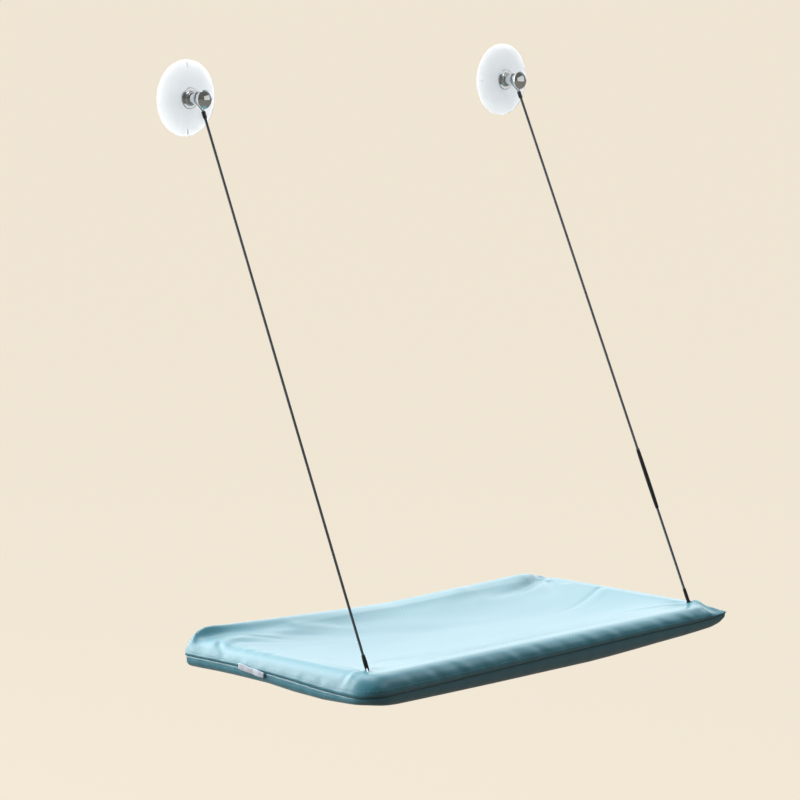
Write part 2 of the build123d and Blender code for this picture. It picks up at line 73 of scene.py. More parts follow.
away = Vector((
    math.sin(CAMERA_TURN) * math.cos(CAMERA_RISE),
    -math.cos(CAMERA_TURN) * math.cos(CAMERA_RISE),
    math.sin(CAMERA_RISE),
))
camera_data = bpy.data.cameras.new("camera")
camera_data.sensor_width = SENSOR_WIDTH
camera_data.lens = CAMERA_LENS
camera = bpy.data.objects.new("camera", camera_data)
camera.location = AIM_POINT + away * CAMERA_DISTANCE
camera.rotation_euler = away.to_track_quat("Z", "Y").to_euler()
scene.collection.objects.link(camera)
scene.camera = camera
print("camera at", [round(v, 3) for v in camera.location])

# %% [markdown]
# ## From numbers to meshes
# A surface here is a grid of points worked out with numpy. One function turns such a grid into a
# mesh with a UV map, which holds the cloth's own length and width in millimetres.


# %% Grid to mesh
def grid_faces(rows, columns, wrap=False):
    """Corners of each four-sided face of a grid, counted row by row. With wrap, the last column joins
    the first."""
    last = columns if wrap else columns - 1
    row, column = np.meshgrid(np.arange(rows - 1), np.arange(last), indexing="ij")
    following = (column + 1) % columns
    corners = (
        row * columns + column,
        row * columns + following,
        (row + 1) * columns + following,
        (row + 1) * columns + column,
    )
    return np.stack(corners, axis=-1).reshape(-1, 4)


def quad_mesh(name, points, faces, flat_place=None):
    """Object from points in millimetres and four-sided faces. flat_place is each point's place in the
    UV map."""
    mesh = bpy.data.meshes.new(name)
    mesh.vertices.add(len(points))
    mesh.vertices.foreach_set("co", (np.asarray(points, float) * MM).ravel())
    mesh.loops.add(faces.size)
    mesh.loops.foreach_set("vertex_index", faces.ravel().astype(np.int32))
    mesh.polygons.add(len(faces))
    mesh.polygons.foreach_set("loop_start", np.arange(0, faces.size, 4, dtype=np.int32))
    mesh.update(calc_edges=True)
    mesh.polygons.foreach_set("use_smooth", np.ones(len(faces), bool))
    if flat_place is not None:
        layer = mesh.uv_layers.new(name="cloth_way")
        layer.data.foreach_set("uv", np.asarray(flat_place, float)[faces.ravel()].ravel())
    piece = bpy.data.objects.new(name, mesh)
    scene.collection.objects.link(piece)
    print(name, len(points), "points,", len(faces), "faces")
    return piece


# %% [markdown]
# ## Cables
# Each cable is wire rope in a dark vinyl coat, pulled straight by the bed's weight. A plain
# cylinder would look like a rod. Here the coat follows the six strands inside it: the radius of
# each ring swells and sinks six times, and the pattern turns along the cable.

# %% Cable sizes and ends
CABLE_RADIUS = 1.45
STRANDS = 6
STRAND_DEPTH = 0.09
STRAND_PITCH = 14
RING_STEP = 1.4
RING_POINTS = 24
TOP_REACH = 21.5
BOTTOM_REACH = 30.5
LOOP_HEIGHT = 21.5
HANG_HEIGHT = 585
CUP_X = {"left": -262, "right": 217.5}
SEAT_X = 251.456
SEAT_Y = -263.456
SIDES = {"left": -1, "right": 1}
ROUTE_SHARES = (0, 0.35, 0.7, 1)
MERGE_DISTANCE = 0.01


def cable_ends(side_name):
    """Top and bottom of the coated stretch, on the line from the spool's loop to the elbow's loop."""
    top = Vector((CUP_X[side_name], -LOOP_HEIGHT, HANG_HEIGHT))
    seat = Vector((SIDES[side_name] * SEAT_X, SEAT_Y, 0))
    down = (seat - top).normalized()
    return top + down * TOP_REACH, seat - down * BOTTOM_REACH


def read_route(name, ends):
    """Points along the smooth line of a NURBS spline through four control points between the ends."""
    start, finish = ends
    data = bpy.data.curves.new(name + "_route", "CURVE")
    data.dimensions = "3D"
    spline = data.splines.new("NURBS")
    spline.points.add(len(ROUTE_SHARES) - 1)
    for point, share in zip(spline.points, ROUTE_SHARES):
        point.co = (*(start.lerp(finish, share) * MM), 1)
    spline.order_u = 3
    spline.use_endpoint_u = True
    spline.resolution_u = 12
    holder = bpy.data.objects.new(name + "_route", data)
    mesh = bpy.data.meshes.new_from_object(holder)
    route = np.array([v.co for v in mesh.vertices])
    bpy.data.objects.remove(holder)
    bpy.data.meshes.remove(mesh)
    return route


def line_frame(start, finish):
    """Three unit vectors square to each other: one along the line and two across it."""
    along = np.array((finish - start).normalized())
    side = np.cross(along, (0, 1, 0))
    side /= np.linalg.norm(side)
    return along, side, np.cross(along, side)


def stranded_tube(name, start, finish):
    """Rings along a straight line. Radius = coat radius less the strand depth times the size of a sine,
    which is 0 on top of each strand and turns with the pitch. The end rings close on the middle."""
    along, side, front = line_frame(start, finish)
    length = (finish - start).length
    stations = np.linspace(0, length, int(length / RING_STEP))
    angles = np.linspace(0, 2 * np.pi, RING_POINTS, endpoint=False)
    along_grid, angle_grid = np.meshgrid(stations, angles, indexing="ij")
    twist = angle_grid - 2 * np.pi * along_grid / STRAND_PITCH
    radius = CABLE_RADIUS - STRAND_DEPTH * np.abs(np.sin(STRANDS / 2 * twist))
    outwards = np.cos(angle_grid)[..., None] * side + np.sin(angle_grid)[..., None] * front
    points = np.array(start) + along_grid[..., None] * along + radius[..., None] * outwards
    cap = np.repeat(np.array(start)[None, None], RING_POINTS, axis=1)
    foot = np.repeat(np.array(finish)[None, None], RING_POINTS, axis=1)
    points = np.concatenate([cap, points, foot])
    tube = quad_mesh(name, points.reshape(-1, 3), grid_faces(len(points), RING_POINTS, wrap=True))
    close_poles(tube)
    return tube


def close_poles(piece):
    """Merges the points that lie on each other and turns every face outwards."""
    work = bmesh.new()
    work.from_mesh(piece.data)
    bmesh.ops.remove_doubles(work, verts=work.verts, dist=MERGE_DISTANCE * MM)
    bmesh.ops.recalc_face_normals(work, faces=work.faces)
    work.to_mesh(piece.data)
    work.free()


# %% [markdown]
# The upper end of a cable hangs from a cup on the glass, and its lower end holds the bed. Each cable is
# made on the line between them, and its transform is baked in. A spline route along the same line is read
# as points.

# %% Make the cables
cables = {}
for side_name in SIDES:
    start, finish = cable_ends(side_name)
    cable = stranded_tube(f"coated_cable_{side_name}", start, finish)
    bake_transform(cable)
    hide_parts(f"cable_{side_name}")
    read_route(cable.name, (start, finish))
    cables[side_name] = cable
    print(side_name, "cable", round((finish - start).length, 1), "mm")

# %% [markdown]
# ### Dark sleeves
# The foot of each cable wears a shrunk sleeve over its ferrule. Its profile is a rod that fades to
# the cable at both ends, turned round the cable's line.

# %% Make the foot sleeves
SLEEVE_LENGTH = 17.5
SLEEVE_TOP = 1.2
SLEEVE_RADIUS = {"left": 2.3, "right": 1.95}
SLEEVE_END_RADIUS = 1.7
SLEEVE_POINTS = 24
SLEEVE_RINGS = 30


def turned_rod(name, start, finish, radius, end_radius):
    """Rings along a line. Radius = end radius plus the rest times the square root of a sine, which goes
    through half a wave from end to end. The end rings close on the middle."""
    along, side, front = line_frame(start, finish)
    shares = np.linspace(0, 1, SLEEVE_RINGS)
    rings = end_radius + (radius - end_radius) * np.sin(np.pi * shares) ** 0.5
    rings = np.concatenate([[0], rings, [0]])
    shares = np.concatenate([[0], shares, [1]])
    angles = np.linspace(0, 2 * np.pi, SLEEVE_POINTS, endpoint=False)
    turn = np.cos(angles)[:, None] * side + np.sin(angles)[:, None] * front
    middle = np.array(start) + shares[:, None] * np.array(finish - start)
    points = middle[:, None] + rings[:, None, None] * turn
    rod = quad_mesh(name, points.reshape(-1, 3), grid_faces(len(rings), SLEEVE_POINTS, wrap=True))
    close_poles(rod)
    return rod


dark_sleeves = []
for side_name in SIDES:
    start, finish = cable_ends(side_name)
    down = (finish - start).normalized()
    top = finish - down * SLEEVE_TOP
    end = top + down * SLEEVE_LENGTH
    sleeve = turned_rod(f"foot_sleeve_{side_name}", top, end, SLEEVE_RADIUS[side_name], SLEEVE_END_RADIUS)
    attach(sleeve, "bed")
    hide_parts(f"bottom_ferrule_{side_name}")
    dark_sleeves.append(sleeve)

# %% [markdown]
# The right cable is made of two lengths, joined under a longer sleeve of the same kind. Like its cable, it
# is made on the cable's line and its transform is baked in.

# %% Make the splice sleeve
SPLICE_START = 438
SPLICE_LENGTH = 70
SPLICE_RADIUS = 2.3
SPLICE_END_RADIUS = 1.8
start, finish = cable_ends("right")
down = (finish - start).normalized()
top = start + down * (SPLICE_START - TOP_REACH)
splice = turned_rod("splice_sleeve", top, top + down * SPLICE_LENGTH, SPLICE_RADIUS, SPLICE_END_RADIUS)
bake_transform(splice)
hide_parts("splice_sleeve_right")
dark_sleeves.append(splice)

# %% [markdown]
# ## The cloth's form
# The sleeve is one cloth sewn along a seam low on its sides. It is tight over the tubes, sags
# between them, bunches up in a loose roll over the left half of the back tube, and is pulled into
# little tents where the cables come out. Simulated cloth would put its folds where it likes. Here
# each fold is placed one by one: the top is a height over the bed's plan, a sum of smooth bumps.

# %% Sizes of the cloth, in millimetres
HALF_WIDTH = 275
BACK = -11.5
FRONT = -287
BACK_AXIS = -28
BACK_CORNER = 3
FRONT_CORNER = {-1: 32, 1: 3}
CORNER_SPREAD = 4
CORNER_REACH = 45
TIP_FRONT = 2
TIP_LEFT = 2
TIP_RIGHT = 5
SIDE_ROUND = 16.5
SIDE_FULLNESS = 0.9
BACK_ROUND = 16.5
BACK_FULLNESS = 0.78
HEM_FULLNESS = 0.85
HEM_ROUND = 8
CREST = 13
SAG = 14
PEAK_X = 251.4
PEAK_Y = -256.5
CLOTH_STEP = 2.0
EDGE_STEPS = 12
CLOTH_THICKNESS = 0.9
TUBE_RADIUS = 11
TUBE_X = 262
TUBE_FRONT = -274
TUBE_BEND = 36
TUBE_CLEAR = 0.4


def soft_step(value, low, high):
    """0 below low, 1 above high and a smooth rise between them."""
    share = np.clip((value - low) / (high - low), 0, 1)
    return share * share * (3 - 2 * share)


def bump(distance, width):
    """Bell curve: 1 at distance 0, near 0 at twice the width."""
    return np.exp(-((distance / width) ** 2))


def line_distance(x, y, path):
    """Distance of each point to a line through the path's points, and the share of the line's length
    at which the nearest place lies."""
    path = np.array(path, float)
    runs = np.hypot(*(path[1:] - path[:-1]).T)
    passed = np.concatenate([[0], np.cumsum(runs)])
    nearest = np.full(np.shape(x), np.inf)
    place = np.zeros(np.shape(x))
    for (x0, y0), (x1, y1), run, before in zip(path[:-1], path[1:], runs, passed):
        share = np.clip(((x - x0) * (x1 - x0) + (y - y0) * (y1 - y0)) / run**2, 0, 1)
        gap = np.hypot(x - x0 - share * (x1 - x0), y - y0 - share * (y1 - y0))
        closer = gap < nearest
        nearest = np.where(closer, gap, nearest)
        place = np.where(closer, (before + share * run) / passed[-1], place)
    return nearest, place


def fold(x, y, path, height, width, head=1.0, tail=0.0):
    """Ridge along a path, or furrow where height is negative: height times a bell curve of the distance
    to the path, times a share that goes from head at its start to tail at its end."""
    gap, place = line_distance(x, y, path)
    return height * bump(gap, width) * (head + (tail - head) * place)


def fold_sum(x, y, folds):
    """Sum of the folds in a list. Each is a path, a height, a width, a head share and a tail share."""
    return sum(fold(x, y, *one) for one in folds)


def outside_tube(x, y):
    """Distance outwards from the frame's middle line, which is a rectangle with round corners."""
    middle = (BACK_AXIS + TUBE_FRONT) / 2
    to_x = np.abs(x) - (TUBE_X - TUBE_BEND)
    to_y = np.abs(y - middle) - (BACK_AXIS - middle - TUBE_BEND)
    outside = np.hypot(np.maximum(to_x, 0), np.maximum(to_y, 0))
    return outside + np.minimum(np.maximum(to_x, to_y), 0) - TUBE_BEND


def tube_roof(x, y):
    """Height of cloth laid on the tubes: a circle's height at the distance to the tubes' middle line."""
    reach = TUBE_RADIUS + TUBE_CLEAR + CLOTH_THICKNESS
    return np.sqrt(np.maximum(reach**2 - outside_tube(x, y) ** 2, 0))


# %% [markdown]
# The broad forms come first: the sag, and the back roll, whose crest, place and width change along
# the window. A lower swell lies in front of the roll's left half. Each line of numbers pairs places
# along the window with a size there, and np.interp fills in between them.

# %% Broad forms of the top
SAG_HALF_WIDTH = 252
SAG_FRONT = -262
SAG_BACK = -44
SAG_SIDE_POWER = 3.2
BACK_CREST_X = (
    -279, -272, -266, -256, -244, -227, -192, -157, -121, -85,
    -29, 8, 65, 143, 200, 223, 243, 255, 264, 280,
)
BACK_CREST_Z = (
    14, 20, 24, 26.5, 26.2, 24.4, 23.8, 22.8, 21.2, 19.5,
    17.2, 15.8, 16.4, 17.4, 18.3, 19, 17.8, 15, 12.6, 11,
)
CREST_LINE_X = (-277, -262, -240, -205, 275)
CREST_LINE_Y = (-18, -20, -23, -28, -28)
ROLL_X = (-277, -250, -225, -190, -150, -60, 275)
ROLL_WIDTH = (8, 8.5, 9.5, 12, 15, 21, 17)
SWELL_X = (-277, -262, -236, -200, -150, -100)
SWELL_Z = (0.5, 3.4, 5.2, 4.4, 2.2, 0)
SWELL_FORWARD = 26
SWELL_WIDTH = 12
RIGHT_DROP = 1.2
RIGHT_DROP_START = 258
RIGHT_DROP_END = 272
ROOF_SOFTNESS = 0.6


def sag_and_roll(x, y):
    """Crest height less a parabola from front to back, deeper towards the front and fading to both
    sides, plus a bell curve along the back roll and one along the swell in front of it."""
    across = np.clip(1 - np.abs(x / SAG_HALF_WIDTH) ** SAG_SIDE_POWER, 0, 1)
    along = np.clip((y - SAG_FRONT) / (SAG_BACK - SAG_FRONT), 0, 1)
    height = CREST - SAG * across * 4 * along * (1 - along) * (0.86 + 0.3 * (1 - along))
    crest = np.interp(x, BACK_CREST_X, BACK_CREST_Z)
    behind = y - np.interp(x, CREST_LINE_X, CREST_LINE_Y)
    height += (crest - CREST) * bump(np.minimum(behind, 0), np.interp(x, ROLL_X, ROLL_WIDTH))
    height += np.interp(x, SWELL_X, SWELL_Z) * bump(behind + SWELL_FORWARD, SWELL_WIDTH)
    drop = RIGHT_DROP * soft_step(x, RIGHT_DROP_START, RIGHT_DROP_END)
    return np.where(x > RIGHT_DROP_START, height - drop, height)


def top_height(x, y):
    """Broad forms plus all folds. Where that sinks below cloth laid on the tubes, the tubes hold it up, by
    a smooth maximum: half of sum plus root of (difference squared plus a small softness)."""
    height = sag_and_roll(x, y)
    height += fold_sum(x, y, LEFT_FOLDS) + fold_sum(x, y, RIGHT_FOLDS) + tents(x, y) + slack(x, y)
    height = corner_ears(x, y, height)
    roof = tube_roof(x, y)
    return 0.5 * (height + roof + np.sqrt((height - roof) ** 2 + ROOF_SOFTNESS))


# %% [markdown]
# Then come the small folds. The left list holds the crease that follows the back corner inside the
# tube and the puckers over the label. The right list holds the hollow where the cloth is tucked
# round the back right corner, and the slanting creases in front of it. Each row is a path in plan, a
# height, a width, and the shares of the height at the path's head and tail.

# %% Small folds
LEFT_FOLDS = (
    (((-273, -66), (-268, -52), (-258, -45), (-244, -46), (-222, -55), (-196, -68)), -2.2, 2.6, 1, 0.15),
    (((-266, -60), (-250, -54), (-226, -64), (-190, -80)), 1.4, 5, 0.8, 0.2),
    (((-276, -98), (-266, -90), (-256, -95), (-246, -88)), 0.8, 2.2, 1, 0.1),
    (((-276, -106), (-264, -101), (-252, -108), (-240, -104)), -0.8, 2.0, 1, 0),
    (((-276, -118), (-262, -116), (-244, -124)), 0.6, 2.8, 1, 0),
    (((-276, -127), (-262, -128), (-246, -136)), -1.0, 3.0, 1, 0),
    (((-250, -72), (-190, -92), (-120, -98)), 1.2, 8, 1, 0),
    (((-205, -52), (-160, -66), (-110, -84)), -1.4, 7, 1, 0),
    (((-150, -46), (-110, -62), (-70, -86)), 1.1, 8, 1, 0),
)
RIGHT_FOLDS = (
    (((254, -34), (228, -46), (196, -58), (140, -66)), -6.5, 8, 1, 0.1),
    (((240, -56), (226, -74), (206, -98)), -1.8, 4.5, 1, 0),
    (((240, -84), (214, -106), (184, -134)), 1.0, 7, 0.7, 0.1),
    (((250, -124), (216, -138), (178, -150), (150, -153)), -1.5, 3.4, 0.8, 0.1),
    (((246, -136), (214, -150), (170, -164)), 0.9, 6, 0.8, 0),
    (((120, -34), (60, -60), (0, -70)), 0.9, 10, 1, 0),
)
TENT_FOLDS = (
    (((222, -236), (168, -204)), 1.6, 5, 0.8, 0),
    (((253, -220), (250, -170)), 1.3, 5, 0.8, 0),
    (((216, -258), (160, -262)), -1.6, 6, 1, 0),
    (((232, -222),), -1.6, 4, 1, 0),
)
TENT_HEIGHT = 1.8
TENT_REACH = 5
TENT_CLEAR = 7


def tents(x, y):
    """Each cable draws the cloth into a point, whose height falls off by an exponential of the distance.
    From it shallow folds run inwards, which start where a bell curve round the point has faded."""
    height = 0
    for side in SIDES.values():
        peak = (side * PEAK_X, PEAK_Y)
        reach = np.hypot(x - side * PEAK_X, y - PEAK_Y)
        folds = 0
        for way, *sizes in TENT_FOLDS:
            path = (peak, *((side * way_x, way_y) for way_x, way_y in way))
            folds = folds + fold(x, y, path, *sizes)
        height = height + TENT_HEIGHT * np.exp(-reach / TENT_REACH) + folds * (1 - bump(reach, TENT_CLEAR))
    return height


# %% [markdown]
# The front corners get sharp ridges from the cables' points, and on the right an ear where the two
# panels lie on each other. Long shallow waves lie over the middle, as slack cloth has.

# %% Corners and slack
RIGHT_EAR_X = (228, 250, 273)
RIGHT_EAR_Z = (12.5, 10, 4.6)
EAR_RISE = (0, 12)
EAR_SIDE = (226, 236)
EAR_FRONT = (250, 266)
LEFT_RIDGE = ((-279, -249), 3.0, 4.4, 0.3, 1)
LEFT_FURROW = ((-279, -235), -2.6, 3.6, 0.2, 1)
FRONT_RIDGE = ((252, -290), 1.6, 3.0, 0.2, 1)
CORNER_RIDGE = (((256, -261), (279, -289)), 5.0, 6, 1, 0.45)
CORNER_RIDGE_RISE = (252, 259)
SLACK_SIDE = (-250, -190)
SLACK_FRONT = (-258, -225)
SLACK_BACK = (50, 70)
SLACK_X = (-250, -60, 250)
SLACK_SHARES = (1, 0.7, 0.5)


def corner_ears(x, y, height):
    """Outside the right front elbow the height goes over to that of a flat ear. Sharp ridges run from
    each cable's point: on the left out to the side, on the right to the corner and to the front."""
    outward = soft_step(outside_tube(x, y), *EAR_RISE)
    right = soft_step(x, *EAR_SIDE) * soft_step(-y, *EAR_FRONT)
    height = height + (np.interp(x, RIGHT_EAR_X, RIGHT_EAR_Z) - height) * outward * right
    for tip, *sizes in (LEFT_RIDGE, LEFT_FURROW):
        height = height + fold(x, y, ((-PEAK_X, PEAK_Y), tip), *sizes)
    height = height + fold(x, y, *CORNER_RIDGE) * soft_step(x, *CORNER_RIDGE_RISE)
    tip, *sizes = FRONT_RIDGE
    return height + fold(x, y, ((PEAK_X, PEAK_Y), tip), *sizes)


def slack(x, y):
    """Sum of two sines that run with the window, bent by slower sines. They are strongest in the left
    half and fade before they reach the tubes."""
    inner = soft_step(-np.abs(x), *SLACK_SIDE) * soft_step(y, *SLACK_FRONT) * soft_step(-y, *SLACK_BACK)
    drift = 9 * np.sin(x / 61 + 0.7) + 5 * np.sin(x / 37)
    waves = 0.5 * np.sin((y + drift) / 8.5 + x / 55) + 0.5 * np.sin((y - drift) / 14 - x / 70 + 1.3)
    patches = 0.6 + 0.4 * np.sin(x / 48 + 1) * np.sin(y / 31)
    return inner * waves * patches * np.interp(x, SLACK_X, SLACK_SHARES)


# %% [markdown]
# ## Sides, seam and hem
# Towards its edge the top turns down over the tubes to a seam, and below the seam the lower cloth
# turns under. Each edge has its own line of heights, and between edges these lines are mixed.

# %% Heights along the edge
SIDE_Y = (-289, -270, -250, -213, -169, -130, -92, -55, -12)
LEFT_SEAM_Z = (-9, -10, -10.5, -9.2, -6.2, -4.2, -3.6, -3, -2.6)
LEFT_HEM_Z = (-17.2, -18.2, -19.4, -20.8, -19.4, -16.4, -15.6, -15, -15)
RIGHT_SEAM_Z = (3.6, -1, -3, -4, -4.6, -5, -5, -5, -4)
RIGHT_HEM_Z = (-2, -9, -11, -13, -14, -14, -14, -14, -13)
FRONT_X = (-277, -262, -235, -165, -90, -20, 57, 95, 134, 174, 214, 240, 258, 270, 280)
FRONT_SEAM_Z = (-9, -8.4, -7.6, -6.6, -5.2, -3.8, -2.6, -1.9, -1.2, -0.9, -0.7, -0.2, 0.8, 2, 3.6)
FRONT_HEM_Z = (-17.2, -18.6, -20.2, -20.6, -20.8, -20.6, -20.4, -19.4, -17.8, -16, -14.4, -13, -12, -10, -5)
BACK_SEAM_Z = -4
BACK_HEM_Z = -14
LEFT_EDGE = -277
RIGHT_EDGE = 279
FRONT_EDGE = -289
BACK_PULL_LINE = 11.5
NEAREST = 0.5


def edge_height(x, y, left, right, front, back):
    """Height of a seam or hem: each edge's own line, mixed by one over the squared distance to the edge.
    The back line's distance counts from a place behind the edge, so that it pulls less."""
    gaps = (x - LEFT_EDGE, RIGHT_EDGE - x, y - FRONT_EDGE, BACK_PULL_LINE - y)
    lines = (
        np.interp(y, SIDE_Y, left),
        np.interp(y, SIDE_Y, right),
        np.interp(x, FRONT_X, front),
        np.full(np.shape(x), float(back)),
    )
    pulls = [1 / (np.maximum(gap, 0) + NEAREST) ** 2 for gap in gaps]
    return sum(line * pull for line, pull in zip(lines, pulls)) / sum(pulls)


def seam_height(x, y):
    """Height of the seam between the two panels."""
    return edge_height(x, y, LEFT_SEAM_Z, RIGHT_SEAM_Z, FRONT_SEAM_Z, BACK_SEAM_Z)


def hem_height(x, y):
    """Height at which the lower panel has turned under."""
    return edge_height(x, y, LEFT_HEM_Z, RIGHT_HEM_Z, FRONT_HEM_Z, BACK_HEM_Z)


# %% [markdown]
# Both panels are cut from the same kind of grid. It has close steps round the edges, round corners,
# and front corners that are drawn outwards. Its UV map keeps the length passed along the cloth.

# %% The shared grid
SLOT_X = 70
SLOT_HALF = 12
SLOT_TOP = 4
WALL_DROP = 20


def edge_profile(radius, fullness):
    """Steps from the edge inwards, by an angle. Inset = radius times (1 - cosine). Rise = sine to a power
    under 1, which makes the edge fuller than a circle."""
    angle = np.linspace(0, np.pi / 2, EDGE_STEPS + 1)
    return radius * (1 - np.cos(angle)), np.sin(angle) ** fullness


def stations(low, high, breaks):
    """Even steps of about the cloth step from low to high, with a step that falls on each break."""
    marks = [low, *breaks, high]
    runs = []
    for begin, end in zip(marks[:-1], marks[1:]):
        count = max(2, round((end - begin) / CLOTH_STEP) + 1)
        runs.append(np.linspace(begin, end, count)[:-1])
    return np.concatenate([*runs, [high]])


def flat_lengths(line, rise):
    """Length passed along the cloth at each step: the root of run squared plus drop squared, added up."""
    steps = np.hypot(np.diff(line), WALL_DROP * np.diff(rise))
    return np.cumsum(np.concatenate([[0], steps]))


def round_corners(x, y):
    """Inside a corner's square, the point (a, b) moves along its own direction to the distance of the
    greater of a and b, which bends the square's two outer sides into a quarter circle."""
    for side in SIDES.values():
        for end, corner in ((BACK, BACK_CORNER), (FRONT, FRONT_CORNER[side])):
            way = 1 if end == BACK else -1
            a = side * x - (HALF_WIDTH - corner)
            b = way * (y - end) + corner
            inside = (a > 0) & (b > 0)
            reach = np.where(inside, np.maximum(a, b) / np.maximum(np.hypot(a, b), 0.001), 1)
            x = np.where(inside, side * (HALF_WIDTH - corner + a * reach), x)
            y = np.where(inside, way * (b * reach - corner) + end, y)
    return x, y


def draw_out_corners(x, y):
    """The back left corner bulges by a bell curve. The further forward a point lies, the more it moves
    outwards and forwards, up to the tips' sizes at the front."""
    spread = CORNER_SPREAD * bump(np.hypot(x + HALF_WIDTH, y - BACK), CORNER_REACH)
    x = x - spread
    y = y + spread / 2
    forward = (BACK - y) / (BACK - FRONT)
    x = x + forward * np.where(x < 0, x * TIP_LEFT, x * TIP_RIGHT) / HALF_WIDTH
    return x, y - TIP_FRONT * forward


def panel_grid(side_round, fullness, back_round, back_fullness, breaks_x, breaks_y):
    """Plan x, plan y, rise share from 0 at the seam to 1, and flat cloth place, for each point of a
    panel. Steps close to the edge follow the edge profile and the others are even."""
    inset, rise = edge_profile(side_round, fullness)
    inset_back, rise_back = edge_profile(back_round, back_fullness)
    inner_x = stations(-HALF_WIDTH + side_round, HALF_WIDTH - side_round, breaks_x)
    inner_y = stations(FRONT + side_round, BACK - back_round, breaks_y)
    line_x = np.concatenate([-HALF_WIDTH + inset[:-1], inner_x, (HALF_WIDTH - inset[:-1])[::-1]])
    line_y = np.concatenate([FRONT + inset[:-1], inner_y, (BACK - inset_back[:-1])[::-1]])
    rise_x = np.concatenate([rise[:-1], np.ones(len(inner_x)), rise[:-1][::-1]])
    rise_y = np.concatenate([rise[:-1], np.ones(len(inner_y)), rise_back[:-1][::-1]])
    y, x = np.meshgrid(line_y, line_x, indexing="ij")
    share = np.minimum(*np.meshgrid(rise_y, rise_x, indexing="ij"))
    flat_y, flat_x = np.meshgrid(flat_lengths(line_y, rise_y), flat_lengths(line_x, rise_x), indexing="ij")
    x, y = draw_out_corners(*round_corners(x, y))
    return x, y, share, np.stack([flat_x, flat_y], axis=-1)


def in_slot(points, faces, front_line):
    """Which faces lie in one of the two slots, through which the clips reach the back tube."""
    middle = points.reshape(-1, 3)[faces].mean(axis=1)
    across = np.abs(np.abs(middle[:, 0]) - SLOT_X) < SLOT_HALF
    return across & (middle[:, 2] < SLOT_TOP) & (middle[:, 1] > front_line)


# %% [markdown]
# ### Top panel
# The top's height fades to the seam's by the rise share. Its wall is pushed steeper at the right
# front and at the back left, leans in a little on the left, and puckers where it is sewn.

# %% Top panel
SLOT_BREAKS = (-SLOT_X - SLOT_HALF, -SLOT_X + SLOT_HALF, SLOT_X - SLOT_HALF, SLOT_X + SLOT_HALF)
EDGE_POWER = 15
EARLY_POWER = 0.3
STITCH_ROW = 2
PUCKER = 0.25
FRONT_PUCKER = 2.2
WALL_LEAN = 0.5
WALL_PUSH = 5
WALL_PUSH_X = (170, 250)
WALL_PUSH_WIDTH = 11
ROLL_PUSH = 6
ROLL_PUSH_X = (150, 235)
ROLL_PUSH_WIDTH = 13
LEFT_WALL_X = (255, 275)
FRONT_WALL_Y = (262, 286)


def pucker(x, y, share):
    """Small in and out waves of the sewn wall: a sum of sines along the edge, times a sine of the rise
    share, which is 0 at the seam and at the crest."""
    along = x + 1.3 * y
    waves = np.sin(along / 5.1) + 0.7 * np.sin(along / 3.3 + 2) * np.sin(along / 19)
    return PUCKER * np.sin(np.pi * share) * waves


def near_edge(x):
    """The share across to a high odd power: -1 at the left edge, 1 at the right edge and almost 0
    between them."""
    return np.clip(x / HALF_WIDTH, -1, 1) ** EDGE_POWER


x, y, share, flat_place = panel_grid(SIDE_ROUND, SIDE_FULLNESS, BACK_ROUND, BACK_FULLNESS, SLOT_BREAKS, ())
low = seam_height(x, y)
height = low + (top_height(x, y) - low) * share
swell = pucker(x, y, share)
early = np.clip(share, 0, 1) ** EARLY_POWER
steep = -WALL_PUSH * soft_step(x, *WALL_PUSH_X) * bump(y - FRONT - SIDE_ROUND, WALL_PUSH_WIDTH) * early
steep_back = ROLL_PUSH * soft_step(-x, *ROLL_PUSH_X) * bump(y - BACK + BACK_ROUND, ROLL_PUSH_WIDTH) * early
lean = WALL_LEAN * np.sin(np.pi * share) * soft_step(-x, *LEFT_WALL_X)
x = x + swell * near_edge(x) + lean
y = y - FRONT_PUCKER * swell * soft_step(-y, *FRONT_WALL_Y) + steep + steep_back
height = np.where(height > 0, np.maximum(height, tube_roof(x, y)), height)
points = np.stack([x, y, height], axis=-1)
faces = grid_faces(*x.shape)
faces = faces[~in_slot(points, faces, BACK_AXIS)]
top_cloth = quad_mesh("top_cloth", points.reshape(-1, 3), faces, flat_place.reshape(-1, 2) * MM)
inner = points[STITCH_ROW:-STITCH_ROW, STITCH_ROW:-STITCH_ROW]
stitch_line = np.concatenate([inner[0, :-1], inner[:-1, -1], inner[-1, :0:-1], inner[:0:-1, 0]])

# %% [markdown]
# ### Bottom panel
# The lower panel starts at the same seam, tucks in a little under it, turns round a small radius and
# hangs in a shallow belly between the tubes. Its faces are turned round, so that they look outwards.

# %% Bottom panel
BELLY = 5
BELLY_HALF_WIDTH = 265
BELLY_SIDE_POWER = 2.6
BELLY_FRONT = -276
BELLY_BACK = -38
SEAM_TUCK = 0.8
TUCK_FADE = (0.1, 0.8)
UNDER_PUCKER = 0.6
UNDER_SLACK = 0.5
UNDER_SLOT_FRONT = -35
BACK_WALL_Y = (-34, -12)
MIDDLE_Y = -150
x, y, share, flat_place = panel_grid(
    HEM_ROUND, HEM_FULLNESS, HEM_ROUND, HEM_FULLNESS, SLOT_BREAKS, (UNDER_SLOT_FRONT,)
)
low = seam_height(x, y)
across = np.clip(1 - np.abs(x / BELLY_HALF_WIDTH) ** BELLY_SIDE_POWER, 0, 1)
along = np.clip((y - BELLY_FRONT) / (BELLY_BACK - BELLY_FRONT), 0, 1)
belly = 4 * BELLY * across * along * (1 - along)
under = hem_height(x, y) - belly - UNDER_SLACK * slack(x, y)
under = np.minimum(under, -tube_roof(x, y))
tuck = SEAM_TUCK * (1 - soft_step(share, *TUCK_FADE)) - UNDER_PUCKER * pucker(x, y, share)
x = x - tuck * near_edge(x)
y = np.where(y < MIDDLE_Y, y + tuck * soft_step(-y, *FRONT_WALL_Y), y - tuck * soft_step(y, *BACK_WALL_Y))
height = low + (under - low) * share
